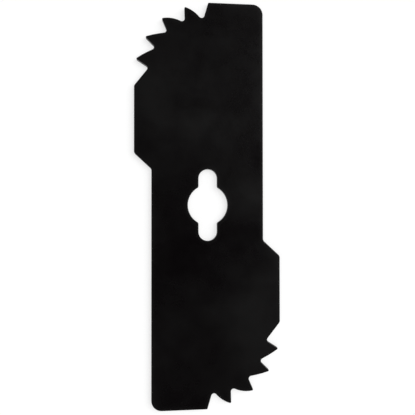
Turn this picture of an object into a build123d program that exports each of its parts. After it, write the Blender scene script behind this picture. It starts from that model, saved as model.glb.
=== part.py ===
from build123d import *
from collections import namedtuple
import os

# A two-ended lawn edging blade, stamped from one flat sheet of steel.
# It looks the same after half a turn about its arbor hole: each end has a plain rounded corner,
# a row of saw teeth round the other corner, and below the teeth a shoulder wider than the body.
# Frame: origin at the centre of the arbor hole on the underside, +Y along the blade and
# +Z along the arbor, with the blade lying flat. Sizes are in millimetres and degrees.

# Plate
BLADE_LENGTH = 190.5
BODY_WIDTH = 52.5
THICKNESS = 2.0
END_CORNER_ROUND = 4.9

# Shoulders: how far each stands out past the body, where its straight side ends,
# and how much of the blade's length its slope back to the body takes
SHOULDER_STEP = 8.0
SHOULDER_BOTTOM = 24.1
SHOULDER_SLOPE = 7.4
SHOULDER_ROUND = 2.0

# Tooth row: sharp tips on one circle about a centre on the blade's long axis.
# The circle passes the shoulder's side and stops short of the blade's end.
TIP_CIRCLE_PAST_SIDE = 0.15
TIP_CIRCLE_TO_END = 0.5
TIP_ROUND = 0.55
GULLET_ROUND = 1.3

# Each tooth has a gullet in front of it, a bulged back and a tip. Angles turn from the blade's
# long axis towards the shoulder, and depths go in from the tip circle.
# The two teeth nearest the end have round backs and the next two have almost straight ones.
Tooth = namedtuple("Tooth", "gullet_angle gullet_depth back_bulge tip_angle")
TEETH = [
    Tooth(gullet_angle=5.2, gullet_depth=8.3, back_bulge=1.05, tip_angle=18.6),
    Tooth(gullet_angle=23.5, gullet_depth=7.4, back_bulge=1.15, tip_angle=38.8),
    Tooth(gullet_angle=42.8, gullet_depth=6.8, back_bulge=0.3, tip_angle=58.6),
    Tooth(gullet_angle=62.1, gullet_depth=7.1, back_bulge=0.3, tip_angle=77.4),
]

# The blade's end edge stops just before its long axis, where a straight face drops to the first
# gullet. The last tooth's face ends in a gullet that runs straight down to the shoulder.
END_EDGE_TO_AXIS = 0.25
LAST_GULLET_ANGLE = 82.6
LAST_GULLET_DEPTH = 6.65
LAST_GULLET_TO_SHOULDER = 8.5

# Keyed arbor hole: a round hole, and across it a slot for the arbor's two drive lugs
ARBOR_HOLE_DIAMETER = 18.7
KEY_SLOT_WIDTH = 8.7
KEY_SLOT_LENGTH = 33.6
KEY_CORNER_ROUND = 1.0

# Stamped edges: rolled over where the punch went in, with the burr broken off on the underside
EDGE_ROLL = 0.3
EDGE_BREAK = 0.15


def from_row_centre(radius, angle):
    """The point of the tooth row at a radius and an angle about its centre."""
    return row_centre + Vector(0, radius).rotate(Axis.Z, angle)


def both_ends(points):
    """The points, and the same points at the blade's other end."""
    return [place for point in points for place in (point, -point)]


def corners(sketch, points):
    """The sketch's corners at the points."""
    return [sketch.vertices().sort_by_distance(point)[0] for point in points]


# Corners of one end, from the foot of the plain side round to the root of the shoulder
end = BLADE_LENGTH / 2
body_side = BODY_WIDTH / 2
shoulder_side = body_side + SHOULDER_STEP
shoulder_root = Vector(-body_side, SHOULDER_BOTTOM - SHOULDER_SLOPE)
shoulder_bottom = Vector(-shoulder_side, SHOULDER_BOTTOM)
plain_side_foot = -shoulder_root
end_corner = Vector(body_side, end)
first_face_top = Vector(END_EDGE_TO_AXIS, end)

tip_radius = shoulder_side + TIP_CIRCLE_PAST_SIDE
row_centre = Vector(0, end - TIP_CIRCLE_TO_END - tip_radius)
tips = [from_row_centre(tip_radius, tooth.tip_angle) for tooth in TEETH]
gullets = [from_row_centre(tip_radius - tooth.gullet_depth, tooth.gullet_angle) for tooth in TEETH]
last_gullet = from_row_centre(tip_radius - LAST_GULLET_DEPTH, LAST_GULLET_ANGLE)
shoulder_top = Vector(-shoulder_side, last_gullet.Y - LAST_GULLET_TO_SHOULDER)

# Corners where the key slot meets the round hole
arbor_radius = ARBOR_HOLE_DIAMETER / 2
key_side = KEY_SLOT_WIDTH / 2
key_foot = (arbor_radius**2 - key_side**2) ** 0.5
key_corners = [Vector(key_side, key_foot), Vector(-key_side, key_foot)]

with BuildPart() as blade:
    # Blank: one end's edge, and the same edge turned half round
    with BuildSketch() as blank:
        with BuildLine() as edge:
            Polyline(plain_side_foot, end_corner, first_face_top)
            for tooth, face_top, gullet, tip in zip(TEETH, [first_face_top, *tips], gullets, tips):
                Line(face_top, gullet)
                SagittaArc(gullet, tip, -tooth.back_bulge)
            Polyline(tips[-1], last_gullet, shoulder_top, shoulder_bottom, shoulder_root)
            add(edge.line, rotation=180)
        make_face()
        fillet(corners(blank, both_ends([end_corner])), END_CORNER_ROUND)
        fillet(corners(blank, both_ends([shoulder_top, shoulder_bottom, shoulder_root])), SHOULDER_ROUND)
        fillet(corners(blank, both_ends([*gullets, last_gullet])), GULLET_ROUND)
        fillet(corners(blank, both_ends([first_face_top, *tips])), TIP_ROUND)
    extrude(amount=THICKNESS)

    # Arbor hole with its key slot
    with BuildSketch() as arbor_hole:
        Circle(arbor_radius)
        SlotOverall(KEY_SLOT_LENGTH, KEY_SLOT_WIDTH, rotation=90)
        fillet(corners(arbor_hole, both_ends(key_corners)), KEY_CORNER_ROUND)
    extrude(amount=THICKNESS, mode=Mode.SUBTRACT)

    # Stamped edges round the outline and the hole
    fillet(blade.faces().sort_by(Axis.Z)[-1].edges(), EDGE_ROLL)
    chamfer(blade.faces().sort_by(Axis.Z)[0].edges(), EDGE_BREAK)

blade.part.label = "blade"
os.makedirs("parts", exist_ok=True)
export_step(blade.part, "parts/blade.step")
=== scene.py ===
"""A lawn edging blade with two toothed ends, painted satin black, lying on a pale studio table.

Lengths are written in millimetres and angles in degrees, and become metres and radians where
they are used. +Y runs along the blade, +X across it, and +Z up out of its upper face.
"""

import logging
import math
from dataclasses import dataclass
from enum import Enum

import bmesh
import bpy
from mathutils import Matrix, Vector


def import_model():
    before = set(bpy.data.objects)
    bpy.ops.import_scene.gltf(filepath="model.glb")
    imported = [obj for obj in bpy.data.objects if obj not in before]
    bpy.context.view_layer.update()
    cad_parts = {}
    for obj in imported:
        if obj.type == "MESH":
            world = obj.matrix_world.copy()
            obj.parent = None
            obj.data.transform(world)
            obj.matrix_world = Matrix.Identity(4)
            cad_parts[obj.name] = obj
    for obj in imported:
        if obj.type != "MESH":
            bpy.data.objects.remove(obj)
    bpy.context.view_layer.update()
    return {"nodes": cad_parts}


MM = 0.001
WHITE = "#ffffff"
PHOTO_WIDTH_PX = 415
SENSOR_WIDTH_MM = 36.0

# A Mix node has sockets of the same name for each kind of data, so its colours go by number.
MIX_COLOUR_A = 6
MIX_COLOUR_B = 7
MIX_COLOUR_RESULT = 2

NodeInput = bpy.types.NodeSocket | float | tuple[float, ...]
NodeInputs = dict[str | int, NodeInput]

log = logging.getLogger("edging_blade")


def linear_rgba(hex_colour: str) -> tuple[float, ...]:
    """Turns an sRGB hex colour into linear light.

    Args:
        hex_colour: A hash and six hex digits, such as "#0b0a0a".

    Returns:
        Red, green and blue in linear light, and an alpha of 1.
    """
    channels = [int(hex_colour[start : start + 2], 16) / 255 for start in (1, 3, 5)]
    return *[c / 12.92 if c <= 0.04045 else ((c + 0.055) / 1.055) ** 2.4 for c in channels], 1.0


def per_metre(size_mm: float) -> float:
    """The scale of a pattern in metre coordinates whose features are a size in millimetres."""
    return 1 / (size_mm * MM)


def add_node(
    tree: bpy.types.NodeTree,
    kind: str,
    inputs: NodeInputs | None = None,
    **settings: object,
) -> bpy.types.Node:
    """Adds a node with its settings and links.

    Args:
        tree: The node tree that gets the node.
        kind: The node's Blender type.
        inputs: For each input, by name or number, a socket to link to it or a constant.
        **settings: The node's own properties.

    Returns:
        The new node.
    """
    node = tree.nodes.new(kind)
    for name, value in settings.items():
        setattr(node, name, value)
    for name, value in (inputs or {}).items():
        if isinstance(value, bpy.types.NodeSocket):
            tree.links.new(value, node.inputs[name])
        else:
            node.inputs[name].default_value = value
    return node


def empty_tree(owner: bpy.types.Material | bpy.types.World) -> bpy.types.NodeTree:
    """Clears the nodes that a new material or world comes with.

    Args:
        owner: The material or world.

    Returns:
        Its node tree, with nothing in it.
    """
    owner.use_nodes = True
    owner.node_tree.nodes.clear()
    return owner.node_tree


class PaintTone(Enum):
    """Black of the paint where the film is heavy, and the paler black where it is thin and at the
    edges.
    """

    HEAVY = "#060405"
    # The thin black is also the rim's paler paint, which is partly a painted highlight.
    THIN_FILM_AND_EDGE_HIGHLIGHT = "#0b0a0a"


@dataclass(frozen=True)
class FilmDrift:
    """One size of patch over which the paint's film grows thinner and heavier."""

    size_mm: float
    start_mm: tuple[float, float, float]
    detail: float
    raggedness: float

    def pattern(
        self, tree: bpy.types.NodeTree, place: bpy.types.NodeSocket
    ) -> bpy.types.NodeSocket:
        """Lays the patches over the blade.

        Args:
            tree: The material's node tree.
            place: The point on the blade, in metres.

        Returns:
            A soft pattern about 0.5, higher where the film is thinner.
        """
        start = tuple(length * MM for length in self.start_mm)
        moved = add_node(tree, "ShaderNodeVectorMath", {0: place, 1: start}, operation="ADD")
        noise = add_node(
            tree,
            "ShaderNodeTexNoise",
            {
                "Vector": moved.outputs[0],
                "Scale": per_metre(self.size_mm),
                "Detail": self.detail,
                "Roughness": self.raggedness,
            },
        )
        return noise.outputs[0]


@dataclass(frozen=True)
class Relief:
    """One size of bumps in the painted surface."""

    size_mm: float
    height_mm: float
    detail: float

    def raise_bumps(
        self,
        tree: bpy.types.NodeTree,
        place: bpy.types.NodeSocket,
        inputs: NodeInputs | None = None,
    ) -> bpy.types.NodeSocket:
        """Raises the bumps on a surface.

        Args:
            tree: The material's node tree.
            place: The point on the blade, in metres, stretched where the bumps are long.
            inputs: The share of their height that the bumps have, and the surface under them.

        Returns:
            The normal of the surface with its bumps.
        """
        noise = add_node(
            tree,
            "ShaderNodeTexNoise",
            {"Vector": place, "Scale": per_metre(self.size_mm), "Detail": self.detail},
        )
        bump = add_node(
            tree,
            "ShaderNodeBump",
            {"Height": noise.outputs[0], "Distance": self.height_mm * MM, **(inputs or {})},
        )
        return bump.outputs[0]


@dataclass(frozen=True)
class SatinBlackPaint:
    """Satin black paint, dipped and baked as one thin film over stamped cold-rolled steel."""

    # The film gives the eye a near-black face with a soft, wide sheen. Its thickness drifts, so
    # the sheen is marbled in broad patches and smaller clouds. A narrow rim along every edge is a
    # little paler and duller. That is partly thin film where wet paint draws back from the edge,
    # and partly a painted highlight for the light the rolled edges catch. Close up, the film has
    # the slight orange peel of paint that flowed in the oven. On the cut edges it lies over the
    # marks of the shear: upright streaks where the punch slid past, and a grainy break below
    # them.
    name: str = "satin_black_paint_on_stamped_steel"
    ior: float = 1.5
    glossy_roughness: float = 0.203
    dull_roughness: float = 0.376
    patches: FilmDrift = FilmDrift(72, start_mm=(2313, 927, 2381), detail=1, raggedness=0.5)
    clouds: FilmDrift = FilmDrift(19, start_mm=(373, 954, 2154), detail=4, raggedness=0.6)
    cloud_share: float = 0.45
    heavy_from: float = 0.335
    thin_from: float = 0.665
    # Along every edge the paint is paler and duller, partly thin film and partly painted
    # highlight.
    rim_mm: float = 3.0
    rim_thinning_and_highlight: float = 0.6
    rim_turn: float = 35.0

    # The peel is at its real size. Real shear streaks and grain are a third as coarse as these,
    # which are drawn so that they show.
    peel: Relief = Relief(1.6, height_mm=0.02, detail=1)
    streak: Relief = Relief(0.35, height_mm=0.12, detail=1)
    streak_length_mm: float = 4.0
    grain: Relief = Relief(0.45, height_mm=0.2, detail=2)
    break_top_mm: float = 1.3
    break_foot_mm: float = 0.9
    wall_slope: float = 0.2
    face_slope: float = 0.6

    def material(self) -> bpy.types.Material:
        """Makes the paint.

        Returns:
            A material in the blade's own coordinates.
        """
        material = bpy.data.materials.new(self.name)
        tree = empty_tree(material)
        place = add_node(tree, "ShaderNodeTexCoord").outputs["Object"]
        thinness = self._thinness_and_edge_highlight(tree, place)
        # Heavy to thin black; the paler black along the edges is partly a painted highlight.
        colour = add_node(
            tree,
            "ShaderNodeMix",
            {
                "Factor": thinness,
                MIX_COLOUR_A: linear_rgba(PaintTone.HEAVY.value),
                MIX_COLOUR_B: linear_rgba(PaintTone.THIN_FILM_AND_EDGE_HIGHLIGHT.value),
            },
            data_type="RGBA",
        ).outputs[MIX_COLOUR_RESULT]
        roughness = add_node(
            tree,
            "ShaderNodeMapRange",
            {"Value": thinness, "To Min": self.glossy_roughness, "To Max": self.dull_roughness},
        ).outputs["Result"]
        shader = add_node(
            tree,
            "ShaderNodeBsdfPrincipled",
            {
                "Base Color": colour,
                "Roughness": roughness,
                "IOR": self.ior,
                "Normal": self._surface(tree, place),
            },
        )
        add_node(tree, "ShaderNodeOutputMaterial", {"Surface": shader.outputs["BSDF"]})
        return material

    def _thinness_and_edge_highlight(
        self, tree: bpy.types.NodeTree, place: bpy.types.NodeSocket
    ) -> bpy.types.NodeSocket:
        """Thins the film in patches and clouds, and pales each edge, partly a painted highlight.

        Args:
            tree: The material's node tree.
            place: The point on the blade, in metres.

        Returns:
            0 for heavy, glossy film; 1 for thin, dull film and the partly painted edge highlight.
        """
        drift = add_node(
            tree,
            "ShaderNodeMix",
            {
                "Factor": self.cloud_share,
                "A": self.patches.pattern(tree, place),
                "B": self.clouds.pattern(tree, place),
            },
        ).outputs["Result"]
        thinness = add_node(
            tree,
            "ShaderNodeMapRange",
            {"Value": drift, "From Min": self.heavy_from, "From Max": self.thin_from},
        ).outputs["Result"]
        # Along every edge the rim pales and dulls the paint; the paleness is partly a painted
        # highlight.
        return add_node(
            tree,
            "ShaderNodeMath",
            {0: self._rim(tree), 1: self.rim_thinning_and_highlight, 2: thinness},
            operation="MULTIPLY_ADD",
            use_clamp=True,
        ).outputs[0]

    def _rim(self, tree: bpy.types.NodeTree) -> bpy.types.NodeSocket:
        """Finds the edges, from how far the surface turns within a rim's width.

        Args:
            tree: The material's node tree.

        Returns:
            1 on an edge, and 0 from a rim's width away.
        """
        facing = add_node(tree, "ShaderNodeNewGeometry").outputs["True Normal"]
        eased = add_node(tree, "ShaderNodeBevel", {"Radius": self.rim_mm * MM}).outputs[0]
        turn = add_node(
            tree, "ShaderNodeVectorMath", {0: facing, 1: eased}, operation="DISTANCE"
        ).outputs["Value"]
        full_turn = 2 * math.sin(math.radians(self.rim_turn) / 2)
        return add_node(
            tree, "ShaderNodeMapRange", {"Value": turn, "From Max": full_turn}
        ).outputs["Result"]

    def _surface(
        self, tree: bpy.types.NodeTree, place: bpy.types.NodeSocket
    ) -> bpy.types.NodeSocket:
        """Raises the film's own peel, and the marks of the shear under it on the cut edges.

        Args:
            tree: The material's node tree.
            place: The point on the blade, in metres.

        Returns:
            The normal of the finished surface.
        """
        peeled = self.peel.raise_bumps(tree, place)

        facing = add_node(tree, "ShaderNodeNewGeometry").outputs["True Normal"]
        up = add_node(tree, "ShaderNodeSeparateXYZ", {0: facing}).outputs["Z"]
        slope = add_node(tree, "ShaderNodeMath", {0: up}, operation="ABSOLUTE").outputs[0]
        wall = add_node(
            tree,
            "ShaderNodeMapRange",
            {"Value": slope, "From Min": self.face_slope, "From Max": self.wall_slope},
        ).outputs["Result"]
        upright = (1.0, 1.0, self.streak.size_mm / self.streak_length_mm)
        stretched = add_node(
            tree, "ShaderNodeVectorMath", {0: place, 1: upright}, operation="MULTIPLY"
        ).outputs[0]
        streaked = self.streak.raise_bumps(tree, stretched, {"Strength": wall, "Normal": peeled})

        height = add_node(tree, "ShaderNodeSeparateXYZ", {0: place}).outputs["Z"]
        broken = add_node(
            tree,
            "ShaderNodeMapRange",
            {
                "Value": height,
                "From Min": self.break_top_mm * MM,
                "From Max": self.break_foot_mm * MM,
            },
        ).outputs["Result"]
        grainy = add_node(
            tree, "ShaderNodeMath", {0: wall, 1: broken}, operation="MULTIPLY"
        ).outputs[0]
        return self.grain.raise_bumps(tree, place, {"Strength": grainy, "Normal": streaked})


@dataclass(frozen=True)
class MattPaleBoard:
    """Matt pale grey painted board, rolled and left flat."""

    # The board gives the eye one even tone with no sheen, and holds the blade's soft shadow.
    # Round the blade it is filled up to white, and far off it falls to the tone of the wall.
    name: str = "matt_pale_painted_board"
    colour: str = "#a8a8a8"
    roughness: float = 0.9
    sheen: float = 0.0
    near_fill: float = 0.64
    far_fill: float = 0.31
    near_mm: float = 150.0
    far_mm: float = 1200.0

    def material(self) -> bpy.types.Material:
        """Makes the board, filled only for what looks at it or mirrors it.

        Returns:
            A material that takes shadow and lights nothing else.
        """
        material = bpy.data.materials.new(self.name)
        tree = empty_tree(material)
        path = add_node(tree, "ShaderNodeLightPath").outputs
        seen = path["Is Camera Ray"]
        for ray in ("Is Glossy Ray", "Is Transmission Ray"):
            seen = add_node(
                tree, "ShaderNodeMath", {0: seen, 1: path[ray]}, operation="MAXIMUM"
            ).outputs[0]
        place = add_node(tree, "ShaderNodeTexCoord").outputs["Object"]
        away = add_node(tree, "ShaderNodeVectorMath", {0: place}, operation="LENGTH")
        level = add_node(
            tree,
            "ShaderNodeMapRange",
            {
                "Value": away.outputs["Value"],
                "From Min": self.near_mm * MM,
                "From Max": self.far_mm * MM,
                "To Min": self.near_fill,
                "To Max": self.far_fill,
            },
            interpolation_type="SMOOTHSTEP",
        ).outputs["Result"]
        fill = add_node(
            tree, "ShaderNodeMath", {0: seen, 1: level}, operation="MULTIPLY"
        ).outputs[0]
        shader = add_node(
            tree,
            "ShaderNodeBsdfPrincipled",
            {
                "Base Color": linear_rgba(self.colour),
                "Roughness": self.roughness,
                "Specular IOR Level": self.sheen,
                "Emission Color": linear_rgba(WHITE),
                "Emission Strength": fill,
            },
        )
        add_node(tree, "ShaderNodeOutputMaterial", {"Surface": shader.outputs["BSDF"]})
        return material


@dataclass
class Blade:
    """The stamped blade, which is one piece of steel."""

    node: bpy.types.Object
    finish: SatinBlackPaint = SatinBlackPaint()

    def dress(self) -> None:
        """Paints the whole blade."""
        for slot in self.node.material_slots:
            slot.material = self.finish.material()


@dataclass(frozen=True)
class SoftLamp:
    """A far soft lamp, placed by its compass angle from +X towards +Y and its height.

    Its share is its part of the light that makes a white table white. A lamp that isn't mirrored
    has a polarising sheet before it, and a filter on the lens takes its glare off the paint.
    """

    name: str
    compass: float
    height: float
    spread: float
    share: float
    mirrored: bool = True

    def hang(self) -> None:
        """Hangs the lamp, turned to the blade."""
        turn, lift = math.radians(self.compass), math.radians(self.height)
        lamp = bpy.data.lights.new(self.name, "SUN")
        lamp.angle = math.radians(self.spread)
        lamp.energy = math.pi * self.share / math.sin(lift)
        towards = Vector(
            (math.cos(turn) * math.cos(lift), math.sin(turn) * math.cos(lift), math.sin(lift))
        )
        holder = bpy.data.objects.new(self.name, lamp)
        holder.visible_glossy = self.mirrored
        holder.rotation_euler = towards.to_track_quat("Z", "Y").to_euler()
        bpy.context.scene.collection.objects.link(holder)


@dataclass
class Studio:
    """A pale table under soft lamps, with a pale wall round it that is dark overhead."""

    # The two low lamps give the paint its sheen. The top lamp gives half the light and no glare.
    lamps: tuple[SoftLamp, ...] = (
        SoftLamp("key_lamp", compass=20, height=36, spread=50, share=0.30),
        SoftLamp("fill_lamp", compass=228, height=21, spread=50, share=0.08),
        SoftLamp("top_lamp", compass=16, height=70, spread=120, share=0.52, mirrored=False),
    )
    board: MattPaleBoard = MattPaleBoard()
    board_radius: float = 3000.0
    board_sides: int = 96
    board_drop: float = 0.05
    wall_light: float = 0.7
    dark_height: float = 45.0

    def build(self) -> None:
        """Lays the table, hangs the lamps and puts up the wall."""
        self._lay_board()
        for lamp in self.lamps:
            lamp.hang()
        self._put_up_wall()

    def _lay_board(self) -> None:
        """Lays a round board just under the blade."""
        mesh = bpy.data.meshes.new("board")
        shape = bmesh.new()
        radius = self.board_radius * MM
        bmesh.ops.create_circle(shape, cap_ends=True, segments=self.board_sides, radius=radius)
        bmesh.ops.translate(shape, verts=shape.verts, vec=(0, 0, -self.board_drop * MM))
        shape.to_mesh(mesh)
        shape.free()
        mesh.materials.append(self.board.material())
        board = bpy.data.objects.new("board", mesh)
        bpy.context.scene.collection.objects.link(board)

    def _put_up_wall(self) -> None:
        """Puts up a far wall, pale at the table's height and dark overhead."""
        world = bpy.data.worlds.new("studio_wall")
        tree = empty_tree(world)
        direction = add_node(tree, "ShaderNodeTexCoord").outputs["Generated"]
        rise = add_node(tree, "ShaderNodeSeparateXYZ", {0: direction}).outputs["Z"]
        light = add_node(
            tree,
            "ShaderNodeMapRange",
            {
                "Value": rise,
                "From Max": math.sin(math.radians(self.dark_height)),
                "To Min": self.wall_light,
                "To Max": 0.0,
            },
            interpolation_type="SMOOTHSTEP",
        ).outputs["Result"]
        wall = add_node(
            tree, "ShaderNodeBackground", {"Color": linear_rgba(WHITE), "Strength": light}
        )
        add_node(tree, "ShaderNodeOutputWorld", {"Surface": wall.outputs[0]})
        bpy.context.scene.world = world


@dataclass
class PhotoCamera:
    """A camera a hand's length above the blade, leaning a little to its left."""

    distance: float = 200.0
    lean_left: float = 4.95
    lean_near: float = 0.56
    roll: float = -0.04
    aim: tuple[float, float, float] = (-0.16, -1.15, 2.0)
    focal_px: float = 427.5
    nearest_seen: float = 1.0

    def place(self) -> bpy.types.Object:
        """Places the camera over the blade.

        Returns:
            The camera, which is the scene's own.
        """
        left, near = math.radians(self.lean_left), math.radians(self.lean_near)
        back = Vector(
            (-math.sin(left) * math.cos(near), -math.sin(near), math.cos(left) * math.cos(near))
        ).normalized()
        right = Vector((0, 1, 0)).cross(back).normalized()
        axes = Matrix((right, back.cross(right), back)).transposed().to_4x4()
        camera = bpy.data.cameras.new("photo_camera")
        camera.sensor_width = SENSOR_WIDTH_MM
        camera.lens = self.focal_px / PHOTO_WIDTH_PX * SENSOR_WIDTH_MM
        camera.clip_start = self.nearest_seen * MM
        holder = bpy.data.objects.new("photo_camera", camera)
        spot = (Vector(self.aim) + back * self.distance) * MM
        turn = Matrix.Rotation(math.radians(self.roll), 4, "Z")
        holder.matrix_world = Matrix.Translation(spot) @ axes @ turn
        bpy.context.scene.collection.objects.link(holder)
        bpy.context.scene.camera = holder
        return holder


def main() -> None:
    """Builds the scene: the blade, the studio and the camera."""
    logging.basicConfig(level=logging.INFO, format="%(name)s: %(message)s")
    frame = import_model()
    bpy.context.scene.view_settings.view_transform = "Standard"

    blade = Blade(frame["nodes"]["blade"])
    blade.dress()
    log.info("blade: %s", blade.finish.name)

    studio = Studio()
    studio.build()
    log.info("studio: a board and %d lamps", len(studio.lamps))

    camera = PhotoCamera().place()
    log.info("camera: %.1f mm lens", camera.data.lens)


if __name__ == "__main__":
    main()
